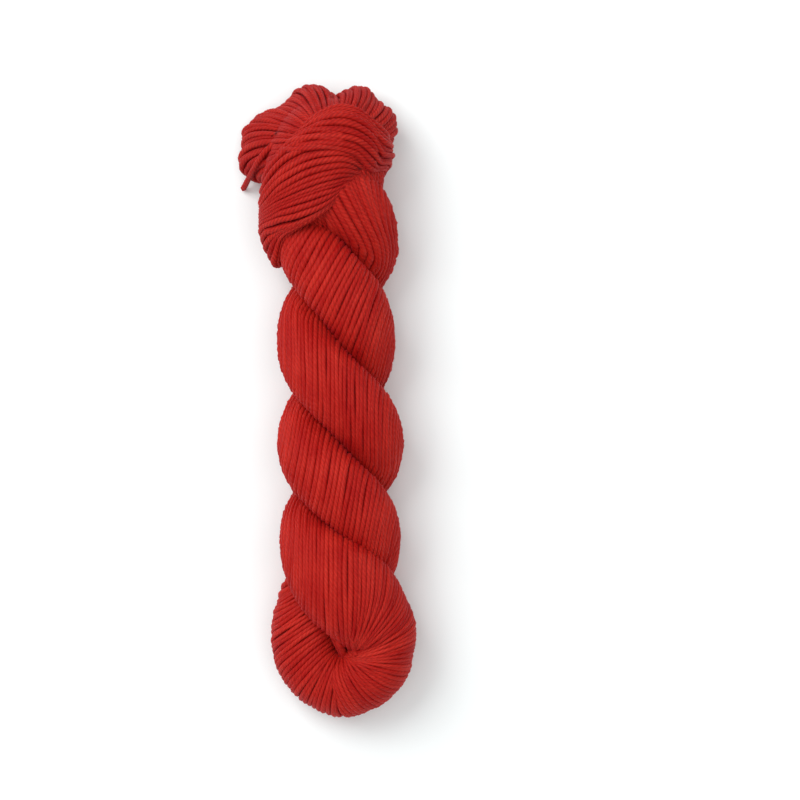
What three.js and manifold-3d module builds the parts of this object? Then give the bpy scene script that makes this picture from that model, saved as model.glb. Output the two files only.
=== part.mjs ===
/**
 * A hank of plied wool yarn, lying on a flat surface.
 *
 * The winding is one long loop of yarn, twisted and folded in half, so that its two halves (the
 * plies) wrap each other like a short thick rope. The fold is a round knob at one end. At the
 * other end one end loop, the cuff, wraps the neck, and the other end loop, the crown, comes out
 * through it and fans out. One short end of yarn is loose beside the crown.
 *
 * Millimetres. +Y runs along the hank from the knob to the crown, +X is to the right as seen from
 * above with the crown at the top, and +Z is up. The origin is under the middle of the bounding
 * box, on the surface that the hank lies on.
 */
import * as THREE from "three";
import { mergeVertices } from "three/addons/utils/BufferGeometryUtils.js";
import Module from "manifold-3d";

const wasm = await Module();
wasm.setup();

// The two plies of the rope, a row for each half turn, from inside the cuff (-2) to the knob's
// middle (3) and the bottom of its fold (4), and one (2.6) where they swell into the knob. axis is
// the rope's centre across, swing is how far a ply's centreline lies to the side of it, and mid is
// the height that the plies turn about. out, inward and wide are the half sizes of a ply's
// section: away from the rope's axis, towards it, and along the lie of the rope.
const HALF_TURNS = [
  { turn: -2, y: 108.0, axis: 1.2, swing: 9.0, mid: 24.0, out: 10.0, inward: 13.0, wide: 14.0 },
  { turn: -1, y: 69.5, axis: 5.0, swing: 14.2, mid: 22.6, out: 11.0, inward: 15.0, wide: 14.2 },
  { turn: 0, y: 25.8, axis: 4.2, swing: 13.8, mid: 22.3, out: 11.0, inward: 15.0, wide: 14.4 },
  { turn: 1, y: -17.8, axis: 6.2, swing: 14.8, mid: 22.3, out: 11.6, inward: 15.4, wide: 14.6 },
  { turn: 2, y: -57.3, axis: 6.0, swing: 14.0, mid: 22.3, out: 11.3, inward: 15.0, wide: 14.4 },
  { turn: 2.6, y: -80.6, axis: 6.0, swing: 14.6, mid: 20.6, out: 14.2, inward: 15.4, wide: 19.4 },
  { turn: 3, y: -97.0, axis: 7.3, swing: 15.4, mid: 18.4, out: 15.2, inward: 15.2, wide: 15.8 },
  { turn: 4, y: -102.0, axis: 7.3, swing: 15.4, mid: 15.0, out: 17.2, inward: 10.0, wide: 15.6 },
];
const SETTLE_TURN = 2.5; // from here on the plies settle into the knob
const KNOB_TURN = 3;
const FOLD_TURN = 4;
const FOLD_DROP = 15.0; // how far the fold's centreline runs on below that
const RISE = 12.6; // how far a ply lies over or under the middle where it crosses the rope
const KNOB_RISE = 4.2; // the same where the plies run into the knob
const PLY_STEPS_A_TURN = 12;
const PLY_SIDES = 22;
const KNOB_LAP = 0.04; // in turns, by which the rope's stretch and the fold's share the knob
const FOLD_LAP = 0.12; // the same of the two plies at the bottom of the fold

// The yarn that lies deep in the knob, at the bottom of the dimple that the fold turns round.
const HEART = { x: 8.6, y: -103.0, z: 13.5, halfAcross: 9.0, halfLong: 12.0, halfHigh: 10.5 };
const ROUND_STEPS = 24; // of the heart and of the neck
const ROUND_LAYERS = 12;

// The cuff, a band round the neck, a row for each stretch of it. angle starts at the right and
// goes over the top to the left. y is its middle along the hank and half its half width there.
// up and down are how far its outside falls in towards its edges at the crown and at the rope.
const CUFF = [
  { angle: 0, y: 103.6, half: 7.5, up: 2.0, down: 2.0 },
  { angle: 30, y: 105.8, half: 10.5, up: 3.0, down: 2.0 },
  { angle: 60, y: 106.3, half: 16.8, up: 5.0, down: 2.2 },
  { angle: 90, y: 99.5, half: 21.0, up: 6.5, down: 2.2 },
  { angle: 120, y: 92.4, half: 21.0, up: 6.5, down: 2.6 },
  { angle: 150, y: 84.8, half: 19.0, up: 4.0, down: 4.0 },
  { angle: 180, y: 76.0, half: 20.5, up: 1.5, down: 6.0 },
  { angle: 210, y: 77.0, half: 20.0, up: 4.0, down: 5.0 },
  { angle: 240, y: 84.0, half: 19.5, up: 6.0, down: 3.0 },
  { angle: 270, y: 92.0, half: 18.5, up: 6.0, down: 2.4 },
  { angle: 300, y: 98.0, half: 15.5, up: 5.0, down: 2.2 },
  { angle: 330, y: 101.5, half: 10.5, up: 3.0, down: 2.0 },
  { angle: 360, y: 103.6, half: 7.5, up: 2.0, down: 2.0 },
];
const CUFF_X = 0.2;
const CUFF_Z = 24.9;
const CUFF_HALF_ACROSS = 29.0;
const CUFF_HALF_HEIGHT = 26.0;
const CUFF_EDGE = 2.4; // the roundness of its edges
const CUFF_THICKNESS = 6.0; // inwards from there
const CUFF_STEPS = 48;
const CUFF_SIDES = 14;

// The neck fills the cuff, where the plies run together.
const NECK_FROM_Y = 66.0;
const NECK_TO_Y = 126.0;
const NECK_FILL = 0.84; // of the cuff's half sizes

// The crown, a row for each fold of its rim. angle is anticlockwise from the right, seen from
// above, and reach is the rim's distance from the crown's root. rim is the height of the rim's
// middle, low where the crown droops to the surface, and half is half its thickness at the root.
const CROWN = [
  { angle: -90, reach: 18.0, rim: 18.0, half: 18.0 },
  { angle: 0, reach: 24.0, rim: 17.0, half: 18.0 },
  { angle: 20, reach: 30.0, rim: 16.0, half: 18.0 },
  { angle: 33, reach: 31.8, rim: 15.0, half: 19.0 },
  { angle: 45, reach: 29.8, rim: 15.0, half: 20.0 },
  { angle: 61, reach: 31.3, rim: 14.0, half: 20.5 },
  { angle: 72, reach: 28.2, rim: 14.0, half: 20.5 },
  { angle: 84, reach: 24.4, rim: 14.0, half: 20.0 },
  { angle: 95, reach: 27.6, rim: 13.0, half: 20.5 },
  { angle: 108, reach: 30.4, rim: 12.0, half: 20.0 },
  { angle: 118, reach: 30.3, rim: 12.0, half: 19.5 },
  { angle: 131, reach: 28.8, rim: 11.0, half: 19.0 },
  { angle: 144, reach: 30.9, rim: 9.5, half: 18.0 },
  { angle: 155, reach: 35.4, rim: 8.0, half: 17.0 },
  { angle: 165, reach: 38.4, rim: 7.0, half: 16.5 },
  { angle: 177, reach: 38.4, rim: 6.5, half: 16.0 },
  { angle: 187, reach: 39.4, rim: 6.5, half: 16.0 },
  { angle: 197, reach: 36.4, rim: 7.5, half: 16.0 },
  { angle: 212, reach: 26.0, rim: 12.0, half: 17.0 },
  { angle: 270, reach: 18.0, rim: 18.0, half: 18.0 },
];
const CROWN_X = 1.8;
const CROWN_Y = 105.0;
const CROWN_ROOT_Z = 24.5; // the middle of its thickness at the root
const CROWN_DROOP = 1.5; // how late it droops: 1 is a straight slope from the root
const CROWN_BLUNTNESS = 2.0; // of the rim: 2 is an ellipse
const CROWN_STEPS = 112;
const CROWN_LAYERS = 12;
const CROWN_RIBS = 28; // all round
const CROWN_RIB_SHARE = 0.03; // of the reach and of the thickness

// The loose end, from inside the cuff's edge to its tip on the surface.
const YARN_DIAMETER = 2.7;
const LOOSE_END_POINTS = [
  [-15.5, 110.8, 27.5],
  [-19.0, 108.6, 28.6],
  [-22.4, 106.4, 28.8],
  [-25.2, 104.0, 27.4],
  [-28.0, 100.8, 23.8],
  [-30.6, 97.2, 18.2],
  [-33.0, 93.8, 10.4],
  [-34.6, 91.6, 5.0],
  [-35.6, 90.2, 1.6],
];
const LOOSE_END_STEPS = 14;
const LOOSE_END_SIDES = 8;
const POCKET_CLEARANCE = 0.45;

// The block that cuts the underside flat.
const SURFACE_WIDTH = 400;
const SURFACE_DEPTH = 20;

const YARN = { color: 0xa81a16, roughness: 0.92, metalness: 0 };

/** A column's value at a place between a table's rows, on a smooth curve through the rows. */
function read(rows, key, place, column) {
  const last = rows.length - 1;
  let i = 0;
  while (i < last - 1 && rows[i + 1][key] <= place) {
    i += 1;
  }
  const slope = (k) => {
    const before = rows[Math.max(k - 1, 0)];
    const after = rows[Math.min(k + 1, last)];
    return (after[column] - before[column]) / (after[key] - before[key]);
  };
  const span = rows[i + 1][key] - rows[i][key];
  const f = THREE.MathUtils.clamp((place - rows[i][key]) / span, 0, 1);
  const start = rows[i][column] * (1 + 2 * f) * (1 - f) ** 2;
  const end = rows[i + 1][column] * (3 - 2 * f) * f ** 2;
  return start + end + span * f * (1 - f) * (slope(i) * (1 - f) - slope(i + 1) * f);
}

/** How far over or under the middle a ply lies: a wave on the rope, less of it at the knob. */
function rise(turn) {
  if (turn <= SETTLE_TURN) {
    return RISE * Math.sin(Math.PI * turn);
  }
  const settled = THREE.MathUtils.smoothstep(turn, SETTLE_TURN, KNOB_TURN);
  return THREE.MathUtils.lerp(RISE, KNOB_RISE, settled) * Math.cos(foldAngle(turn));
}

/** How far round the fold a place is, from 0 at the knob's middle to a right angle. */
function foldAngle(turn) {
  return Math.max(turn - KNOB_TURN, 0) * (Math.PI / 2);
}

/** Which side of the rope a ply is on, across and along. ply is 1 or -1, half a turn apart. */
function side(ply, turn) {
  const fold = foldAngle(turn);
  const across = turn > KNOB_TURN ? Math.cos(fold) : -Math.cos(Math.PI * turn);
  return new THREE.Vector2(ply * across, -Math.sin(fold));
}

/** The direction that a ply's outer side faces: away from the axis, then level round the fold. */
function outward(ply, turn) {
  const settled = THREE.MathUtils.clamp(turn - SETTLE_TURN, 0, 1);
  const lie = turn > SETTLE_TURN
    ? Math.PI * (SETTLE_TURN + settled - settled ** 2 / 2)
    : Math.PI * turn;
  const fold = foldAngle(turn);
  const level = -Math.cos(lie);
  return new THREE.Vector3(
    ply * level * Math.cos(fold),
    -level * Math.sin(fold),
    ply * Math.sin(lie),
  );
}

/** A point of a ply's centreline. */
function plyCentre(ply, turn) {
  const value = (column) => read(HALF_TURNS, "turn", turn, column);
  const place = side(ply, turn);
  return new THREE.Vector3(
    value("axis") + value("swing") * place.x,
    value("y") + FOLD_DROP * place.y,
    value("mid") + ply * rise(turn),
  );
}

/** A point of a ply's surface. across and over are the sine and cosine round its section. */
function plySurface(ply, turn, across, over) {
  const value = (column) => read(HALF_TURNS, "turn", turn, column);
  const near = 0.01;
  const ahead = plyCentre(ply, turn + near).sub(plyCentre(ply, turn - near)).normalize();
  const out = outward(ply, turn);
  out.addScaledVector(ahead, -out.dot(ahead)).normalize();
  const along = new THREE.Vector3().crossVectors(out, ahead);
  const reach = over > 0 ? value("out") : value("inward");
  const point = plyCentre(ply, turn).addScaledVector(out, reach * over);
  return point.addScaledVector(along, value("wide") * across);
}

/** A stretch of one ply, from one turn to another. */
function plyStretch(ply, from, to) {
  const steps = Math.round((to - from) * PLY_STEPS_A_TURN);
  const form = new THREE.CylinderGeometry(1, 1, 1, PLY_SIDES, steps);
  return solid(form, (p) => plySurface(ply, to - (0.5 + p.y) * (to - from), p.x, p.z));
}

/** One ply: its stretch in the rope, and its half of the fold, which runs back under that. */
function plySolid(ply) {
  const rope = plyStretch(ply, HALF_TURNS[0].turn, KNOB_TURN + KNOB_LAP);
  return rope.add(plyStretch(ply, KNOB_TURN - KNOB_LAP, FOLD_TURN + FOLD_LAP));
}

/** The cuff: a ring whose tube is a low wide band. */
function cuffSolid() {
  const form = new THREE.TorusGeometry(2, 1, CUFF_SIDES, CUFF_STEPS);
  return solid(form, (p) => {
    const angle = (THREE.MathUtils.radToDeg(Math.atan2(p.y, p.x)) + 360) % 360;
    const value = (column) => read(CUFF, "angle", angle, column);
    const over = Math.hypot(p.x, p.y) - 2;
    const fall = value(p.z < 0 ? "up" : "down") * p.z ** 2;
    const stand = (over > 0 ? CUFF_EDGE : CUFF_THICKNESS) * over - CUFF_EDGE;
    const radius = new THREE.Vector2(CUFF_HALF_ACROSS, CUFF_HALF_HEIGHT).addScalar(stand - fall);
    const turned = THREE.MathUtils.degToRad(angle);
    return new THREE.Vector3(
      CUFF_X + radius.x * Math.cos(turned),
      value("y") - value("half") * p.z,
      CUFF_Z + radius.y * Math.sin(turned),
    );
  });
}

/** A plain round form: a sphere stretched to the half sizes given, about its middle. */
function roundSolid(middle, half) {
  const form = new THREE.SphereGeometry(1, ROUND_STEPS, ROUND_LAYERS);
  return solid(form, (p) => p.multiply(half).add(middle));
}

/** The neck, round, inside the cuff. */
function neckSolid() {
  const middle = new THREE.Vector3(CUFF_X, (NECK_FROM_Y + NECK_TO_Y) / 2, CUFF_Z);
  const half = new THREE.Vector3(
    NECK_FILL * CUFF_HALF_ACROSS,
    (NECK_TO_Y - NECK_FROM_Y) / 2,
    NECK_FILL * CUFF_HALF_HEIGHT,
  );
  return roundSolid(middle, half);
}

/** The heart of the knob. */
function heartSolid() {
  const middle = new THREE.Vector3(HEART.x, HEART.y, HEART.z);
  return roundSolid(middle, new THREE.Vector3(HEART.halfAcross, HEART.halfLong, HEART.halfHigh));
}

/** The crown: a flat fan, ribbed where its folds of yarn lie side by side. */
function crownSolid() {
  const form = new THREE.SphereGeometry(1, CROWN_STEPS, CROWN_LAYERS);
  form.rotateX(Math.PI / 2);
  return solid(form, (p) => {
    const share = Math.min(Math.hypot(p.x, p.y), 1);
    const angle = share > 1e-6 ? Math.atan2(p.y, p.x) : 0;
    const degrees = THREE.MathUtils.radToDeg(angle);
    const value = (column) => read(CROWN, "angle", degrees < -90 ? degrees + 360 : degrees, column);
    const rib = 1 + CROWN_RIB_SHARE * share * Math.cos(CROWN_RIBS * angle);
    const out = value("reach") * share * rib;
    const thin = (1 - share ** CROWN_BLUNTNESS) ** (1 / CROWN_BLUNTNESS);
    const middle = THREE.MathUtils.lerp(CROWN_ROOT_Z, value("rim"), share ** CROWN_DROOP);
    return new THREE.Vector3(
      CROWN_X + out * Math.cos(angle),
      CROWN_Y + out * Math.sin(angle),
      middle + value("half") * Math.sign(p.z) * thin * rib,
    );
  });
}

/** The loose end's route, and a round tube along it. */
function looseEndTube(diameter, steps) {
  const route = new THREE.CatmullRomCurve3(
    LOOSE_END_POINTS.map((point) => new THREE.Vector3(...point)),
  );
  const section = new THREE.Shape();
  for (let side = 0; side < LOOSE_END_SIDES; side += 1) {
    const angle = (2 * Math.PI * side) / LOOSE_END_SIDES;
    const x = (diameter / 2) * Math.cos(angle);
    const y = (diameter / 2) * Math.sin(angle);
    section[side === 0 ? "moveTo" : "lineTo"](x, y);
  }
  section.closePath();
  return new THREE.ExtrudeGeometry(section, { steps, extrudePath: route });
}

/** A manifold solid of a closed three.js form, each of its points first moved by place. */
function solid(form, place = (p) => p) {
  form.deleteAttribute("normal");
  form.deleteAttribute("uv");
  const shape = mergeVertices(form, 1e-5);
  const points = shape.attributes.position;
  const moved = new THREE.Vector3();
  for (let i = 0; i < points.count; i += 1) {
    moved.copy(place(new THREE.Vector3().fromBufferAttribute(points, i)));
    points.setXYZ(i, moved.x, moved.y, moved.z);
  }
  const triVerts = new Uint32Array(shape.index.array);
  return new wasm.Manifold(
    new wasm.Mesh({ numProp: 3, vertProperties: new Float32Array(points.array), triVerts }),
  );
}

/** A named mesh of a manifold solid or of a three.js geometry. */
function piece(name, shape) {
  let geometry = shape;
  if (shape instanceof wasm.Manifold) {
    const mesh = shape.getMesh();
    geometry = new THREE.BufferGeometry();
    geometry.setAttribute("position", new THREE.BufferAttribute(mesh.vertProperties, 3));
    geometry.setIndex(new THREE.BufferAttribute(mesh.triVerts, 1));
  }
  const mesh = new THREE.Mesh(geometry, new THREE.MeshStandardMaterial(YARN));
  mesh.name = name;
  return mesh;
}

const surface = new THREE.BoxGeometry(SURFACE_WIDTH, SURFACE_WIDTH, SURFACE_DEPTH);
surface.translate(0, 0, -SURFACE_DEPTH / 2);
const pocket = solid(looseEndTube(YARN_DIAMETER + 2 * POCKET_CLEARANCE, LOOSE_END_STEPS));

const hank = plySolid(1)
  .add(plySolid(-1))
  .add(cuffSolid())
  .add(neckSolid())
  .add(heartSolid())
  .add(crownSolid())
  .subtract(solid(surface))
  .subtract(pocket);

const group = new THREE.Group();
group.add(piece("hank", hank));
group.add(piece("loose_end", looseEndTube(YARN_DIAMETER, LOOSE_END_STEPS)));

export default group;
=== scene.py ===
"""The look of a hank of plied wool yarn: every strand that shows, lying on the hank's solid form.

Millimetres in the tables and in the working, metres in the meshes. +X right, +Y towards the
crown, +Z up.
"""

import math

import bpy
import numpy as np
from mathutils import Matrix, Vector
from mathutils.bvhtree import BVHTree


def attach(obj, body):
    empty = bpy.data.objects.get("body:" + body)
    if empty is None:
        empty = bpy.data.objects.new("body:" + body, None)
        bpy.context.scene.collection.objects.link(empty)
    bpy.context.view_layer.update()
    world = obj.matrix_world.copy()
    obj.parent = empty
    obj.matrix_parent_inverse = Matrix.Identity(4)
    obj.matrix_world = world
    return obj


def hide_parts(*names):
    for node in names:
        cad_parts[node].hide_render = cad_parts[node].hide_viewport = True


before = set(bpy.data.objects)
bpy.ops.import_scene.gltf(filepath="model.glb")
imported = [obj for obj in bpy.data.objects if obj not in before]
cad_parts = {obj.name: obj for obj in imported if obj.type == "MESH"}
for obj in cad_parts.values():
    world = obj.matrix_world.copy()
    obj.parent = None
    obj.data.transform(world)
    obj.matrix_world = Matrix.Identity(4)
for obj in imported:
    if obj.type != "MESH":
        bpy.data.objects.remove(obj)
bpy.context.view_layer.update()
random = np.random.default_rng(11)

MM = 0.001


def table(names, rows):
    """A table of named columns."""
    return dict(zip(names.split(), np.array(rows, float).T))


# ---- the hank's form, as in the part's source ----

HALF_TURNS = table("turn y axis swing mid out inward wide", [
    (-2, 108.0, 1.2, 9.0, 24.0, 10.0, 13.0, 14.0),
    (-1, 69.5, 5.0, 14.2, 22.6, 11.0, 15.0, 14.2),
    (0, 25.8, 4.2, 13.8, 22.3, 11.0, 15.0, 14.4),
    (1, -17.8, 6.2, 14.8, 22.3, 11.6, 15.4, 14.6),
    (2, -57.3, 6.0, 14.0, 22.3, 11.3, 15.0, 14.4),
    (2.6, -80.6, 6.0, 14.6, 20.6, 14.2, 15.4, 19.4),
    (3, -97.0, 7.3, 15.4, 18.4, 15.2, 15.2, 15.8),
    (4, -102.0, 7.3, 15.4, 15.0, 17.2, 10.0, 15.6),
])
SETTLE_TURN, KNOB_TURN, FOLD_TURN = 2.5, 3.0, 4.0
FOLD_DROP, RISE, KNOB_RISE = 15.0, 12.6, 4.2

CUFF = table("angle y half up down", [
    (0, 103.6, 7.5, 2.0, 2.0),
    (30, 105.8, 10.5, 3.0, 2.0),
    (60, 106.3, 16.8, 5.0, 2.2),
    (90, 99.5, 21.0, 6.5, 2.2),
    (120, 92.4, 21.0, 6.5, 2.6),
    (150, 84.8, 19.0, 4.0, 4.0),
    (180, 76.0, 20.5, 1.5, 6.0),
    (210, 77.0, 20.0, 4.0, 5.0),
    (240, 84.0, 19.5, 6.0, 3.0),
    (270, 92.0, 18.5, 6.0, 2.4),
    (300, 98.0, 15.5, 5.0, 2.2),
    (330, 101.5, 10.5, 3.0, 2.0),
    (360, 103.6, 7.5, 2.0, 2.0),
])
CUFF_X, CUFF_Z, CUFF_HALF_ACROSS, CUFF_HALF_HEIGHT, CUFF_EDGE = 0.2, 24.9, 29.0, 26.0, 2.4

CROWN = table("angle reach rim half", [
    (-90, 18.0, 18.0, 18.0),
    (0, 24.0, 17.0, 18.0),
    (20, 30.0, 16.0, 18.0),
    (33, 31.8, 15.0, 19.0),
    (45, 29.8, 15.0, 20.0),
    (61, 31.3, 14.0, 20.5),
    (72, 28.2, 14.0, 20.5),
    (84, 24.4, 14.0, 20.0),
    (95, 27.6, 13.0, 20.5),
    (108, 30.4, 12.0, 20.0),
    (118, 30.3, 12.0, 19.5),
    (131, 28.8, 11.0, 19.0),
    (144, 30.9, 9.5, 18.0),
    (155, 35.4, 8.0, 17.0),
    (165, 38.4, 7.0, 16.5),
    (177, 38.4, 6.5, 16.0),
    (187, 39.4, 6.5, 16.0),
    (197, 36.4, 7.5, 16.0),
    (212, 26.0, 12.0, 17.0),
    (270, 18.0, 18.0, 18.0),
])
CROWN_X, CROWN_Y, CROWN_ROOT_Z, CROWN_DROOP = 1.8, 105.0, 24.5, 1.5

YARN_DIAMETER = 2.7
END_SHOWS_X = -24.5  # the crown's strands pass under the loose end to the left of this
END_STEPS, END_AWAY = 400, (-0.3, 0.3, 0.9)
LOOSE_END_POINTS = [
    (-15.5, 110.8, 27.5),
    (-19.0, 108.6, 28.6),
    (-22.4, 106.4, 28.8),
    (-25.2, 104.0, 27.4),
    (-28.0, 100.8, 23.8),
    (-30.6, 97.2, 18.2),
    (-33.0, 93.8, 10.4),
    (-34.6, 91.6, 5.0),
    (-35.6, 90.2, 1.6),
]

# ---- how the strands lie ----

LAY = 8.6  # the length in which the yarn's four singles go once round it
LAY_VARIES = (0.9, 1.12)  # a strand's lay, as a share of that
RING_STEP, COARSE_STEP = LAY / 8, LAY / 8 * 2.5
RING_POINTS, COARSE_POINTS = 8, 6  # the strands underneath are coarse, and have no grooves
FEWEST_RINGS = 5  # a shorter stretch of a strand isn't made
GROOVE, PRESSED_GROOVE = 0.84, 0.91  # of the radius, between two singles
SINK = 1.05  # how far a strand's middle lies under the hank's outer form
DEEPEST = 3.3  # how far under it a strand is still made
REST = 0.45  # of its thickness, the least that a strand's middle is above the floor
LEAST_Z = 0.02  # no point of a strand is lower than this
# the place of a strand's points in the fibres' noise
FIBRE_ROUND, FIBRE_ALONG, FIBRE_START = 3, 0.45, (0, 500)

# Which way the strands of either ply run at the front, in degrees that they lean to the right on
# their way up, by where along the ply they pass its outermost line; the back is like the front.
# pitch is the distance between strands, in millimetres.
LIES = table("turn right left pitch", [
    (-2.0, -34, 33, 3.3),
    (-1.5, -30, 33, 3.3),
    (-1.35, -25, 33, 3.2),
    (-1.2, -15, 33, 3.1),
    (-1.0, -6, 33, 2.9),
    (-0.75, -2, 30, 2.7),
    (-0.5, 0, 26, 2.5),
    (-0.25, 0, 16, 2.45),
    (0.0, -2, 10, 2.4),
    (0.5, -1, 5, 2.4),
    (1.0, 2, 8, 2.4),
    (1.5, 3, 9, 2.4),
    (2.0, 2, 8, 2.4),
    (2.5, 0, 4, 2.35),
    (3.0, 0, 0, 2.25),
    (4.0, 0, 0, 2.2),
])
# Which way they run in the knob, as seen from above: angle is where a place is round the pit, and
# heading is the way there, both in degrees from the right, counterclockwise.
PIT = (8.9, -107.0)
KNOB_LIES = {
    1: table("angle heading", [
        (-90, -90), (-45, -40), (0, 8), (45, 55), (90, 92), (225, 92),
    ]),
    -1: table("angle heading", [
        (-360, 33), (-215, 35), (-180, 42), (-135, 60), (-90, 90), (0, 90),
    ]),
}
RIGHT_FIRST_ANGLE = -135  # the right ply's go on from this to 225, the left one's from -360 to 0
# The right ply's strands run straight on above this y, and take so many millimetres to turn.
STRAIGHT_Y, STRAIGHT_TAKES = -67, 28
# The turn at which the strands start to lie as the knob's do, and how many turns it takes:
# everywhere but on top of the left ply, then there.
KNOB_STARTS, KNOB_TAKES = 2.35, 0.35
LEFT_TOP_STARTS, LEFT_TOP_TAKES = 1.9, 0.4
# The same for lying underneath as on top, and for either ply the least radians round it that
# this goes by.
FOLDED_STARTS, FOLDED_TAKES = 2.6, 0.4
FOLDED_ROUND = {1: 0.2, -1: 0.9}

PIT_STRANDS = [  # from and to, in the pit
    ((2.0, -94.5), (7.6, -107.2)),
    ((4.2, -95.5), (8.6, -107.6)),
    ((6.4, -96.5), (9.4, -107.8)),
    ((8.6, -97.5), (10.4, -107.6)),
    ((10.8, -98.5), (12.6, -106.8)),
]
PIT_SINKS, PIT_SETTLES = (SINK + 1.4, SINK - 0.5), 0.3  # they come up in that share of the way
PIT_YARN = 2.4
PIT_EDGE = [  # two strands at the pit's left edge, as they go down into it
    [
        (4.2, -97.4, 33.5),
        (5.7, -101.2, 33.0),
        (6.7, -103.6, 30.5),
        (7.6, -106.2, 27.0),
        (8.2, -108.3, 23.5),
    ],
    [
        (3.2, -98.4, 31.0),
        (4.7, -101.8, 29.0),
        (5.8, -104.2, 26.5),
        (6.7, -106.6, 24.0),
        (7.2, -108.4, 21.5),
    ],
]
PIT_EDGE_AWAY, PIT_EDGE_YARN = (-0.5, -0.2, 0.8), 2.9
SIDE_STRANDS = (  # low at the knob's left, by the rope: from the first to the last, and their ends
    ((-5.0, -60.0, 1.5), (-10.0, -66.0, 20.0)),
    ((-19.0, -83.0, 5.5), (-19.0, -83.0, 15.0)),
)
SIDE_COUNT, SIDE_SINK, SIDE_YARN = 9, SINK + 0.3, 2.6
LINE_POINTS = 40  # in each of the strands of the pit and the side

PLY_REACH, PLY_STEPS = 2.7, 60  # radians each way from a ply's outermost line, and the steps there
PLY_FROM, PLY_SPLIT = -1.97, 2.35  # in turns: the first strand, and where the knob's begin
PLY_LEAST, PLY_MOST = -2.2, FOLD_TURN + 0.35  # how far a strand may get along its ply
NEAR, FOLD_NEAR, FOLD_NEAR_REACH = 0.03, 0.14, 0.35  # turns: a ply's way is taken over these
NUDGE_TURN, NUDGE_ROUND = 0.01, 0.02  # and the run of its surface over these
LEAST_ALONG = 4  # millimetres to a turn
LEAST_LEAN, MOST_LEAN = 0.03, 0.33  # turns to a radian
KNOB_LEAN = 0.25  # more than that in the knob
# Where the distance between strands is measured: so far round the ply, at points no deeper than
# that under the hank's surface, and at every third point.
SEEN_REACH, SEEN_DEPTH, SEEN_STEP = 1.9, SINK + 1.2, 3
SPREAD_STEPS, LEAST_SPREAD = 240, 20  # the last in millimetres to a turn
UNDER = 1.5  # how much deeper a second layer of strands lies
PITCH_VARIES = (0.92, 1.08)
LAST_GAP = 0.4  # of a gap, from the left ply's last strand to the right one's
PLY_WANDER, PLY_WANDER_LENGTH = 0.16, 4.5  # of a gap, and radians
PLY_WAVE = (0.12, 3.5)  # up and down: millimetres, and radians
PLY_SINK_VARIES = (-0.1, 0.15)
# Every other strand sinks so far where the room is less than the first share of the pitch.
CROWDED, CROWDED_TAKES, CROWDED_SINK = 0.7, 0.35, 1.0
FINEST, THICKEST = 0.62, 1.2  # of the pitch, where a strand has least and most room
PLY_FULLER, UNDER_FULLER = (1.16, 1.28), 1.2  # so that strands press on each other

# The strands of the cuff lie in two groups. Each row is a place round it, in degrees as in CUFF,
# and the lanes of the group's guide strands there, from -1 at the crown's edge to 1 at the
# rope's. The upper group runs out past the crown's edge at the left, the lower one goes all
# round and under the upper one at the right.
UPPER_GUIDES = (0, 3, 5, 8)  # which strand each guide is
UPPER = table("angle a b c d", [
    (-120, -0.90, -0.50, 0.00, 0.60),
    (-60, -0.85, -0.40, 0.10, 0.80),
    (0, -0.80, -0.10, 0.35, 0.92),
    (15, -0.70, 0.10, 0.50, 0.95),
    (30, -0.74, 0.10, 0.54, 0.96),
    (45, -0.86, -0.38, 0.08, 0.76),
    (60, -0.90, -0.60, -0.20, 0.31),
    (75, -0.96, -0.75, -0.41, 0.02),
    (90, -0.98, -0.82, -0.58, -0.20),
    (105, -1.00, -0.84, -0.70, -0.35),
    (120, -1.02, -0.90, -0.84, -0.52),
    (135, -1.15, -1.05, -1.02, -0.76),
    (150, -1.40, -1.30, -1.25, -1.03),
])
LOWER_GUIDES = (-2, 0, 1, 4, 7, 10, 12, 13, 17)
LOWER = table("angle a b c d e f g h i", [
    (45, 0.60, 0.75, 0.78, 0.86, 0.93, 0.96, 0.97, 0.98, 0.98),
    (60, 0.10, 0.30, 0.38, 0.61, 0.83, 0.93, 0.95, 0.98, 0.99),
    (75, -0.30, -0.05, 0.04, 0.33, 0.60, 0.80, 0.90, 0.97, 0.99),
    (90, -0.55, -0.28, -0.15, 0.18, 0.45, 0.67, 0.86, 0.96, 0.99),
    (105, -0.72, -0.44, -0.25, 0.11, 0.40, 0.61, 0.80, 0.95, 0.99),
    (120, -0.80, -0.51, -0.29, 0.09, 0.37, 0.55, 0.73, 0.91, 0.98),
    (135, -0.88, -0.59, -0.30, 0.08, 0.33, 0.49, 0.64, 0.83, 0.97),
    (150, -0.92, -0.61, -0.27, 0.09, 0.25, 0.43, 0.54, 0.71, 0.96),
    (165, -0.92, -0.61, -0.26, -0.03, 0.09, 0.24, 0.34, 0.47, 0.93),
    (180, -0.94, -0.67, -0.35, -0.18, -0.06, 0.09, 0.22, 0.37, 0.88),
    (210, -0.96, -0.78, -0.50, -0.25, -0.03, 0.18, 0.38, 0.60, 0.95),
    (270, -0.96, -0.80, -0.58, -0.30, -0.02, 0.25, 0.50, 0.72, 0.96),
    (330, -0.95, -0.75, -0.50, -0.20, 0.10, 0.35, 0.60, 0.80, 0.96),
    (375, -0.20, 0.10, 0.30, 0.50, 0.65, 0.80, 0.90, 0.95, 0.98),
    (400, 0.50, 0.65, 0.70, 0.80, 0.88, 0.92, 0.95, 0.97, 0.98),
])
UPPER_STRANDS, LOWER_STRANDS = 9, 17
CUFF_STEPS = 600
CUFF_YARN = 2.85  # the diameter of the cuff's and the crown's yarn, which isn't pressed flat
CUFF_YARN_VARIES = (0.97, 1.05)
CUFF_THICK = (1.16, 0.62, 1.04)  # so that strands press on each other; the least, the most
CUFF_SINK, CUFF_UNDER = SINK + 0.25, 1.7
CUFF_SHIFT = (-0.12, 0.12)  # of a gap, to a side
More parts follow.
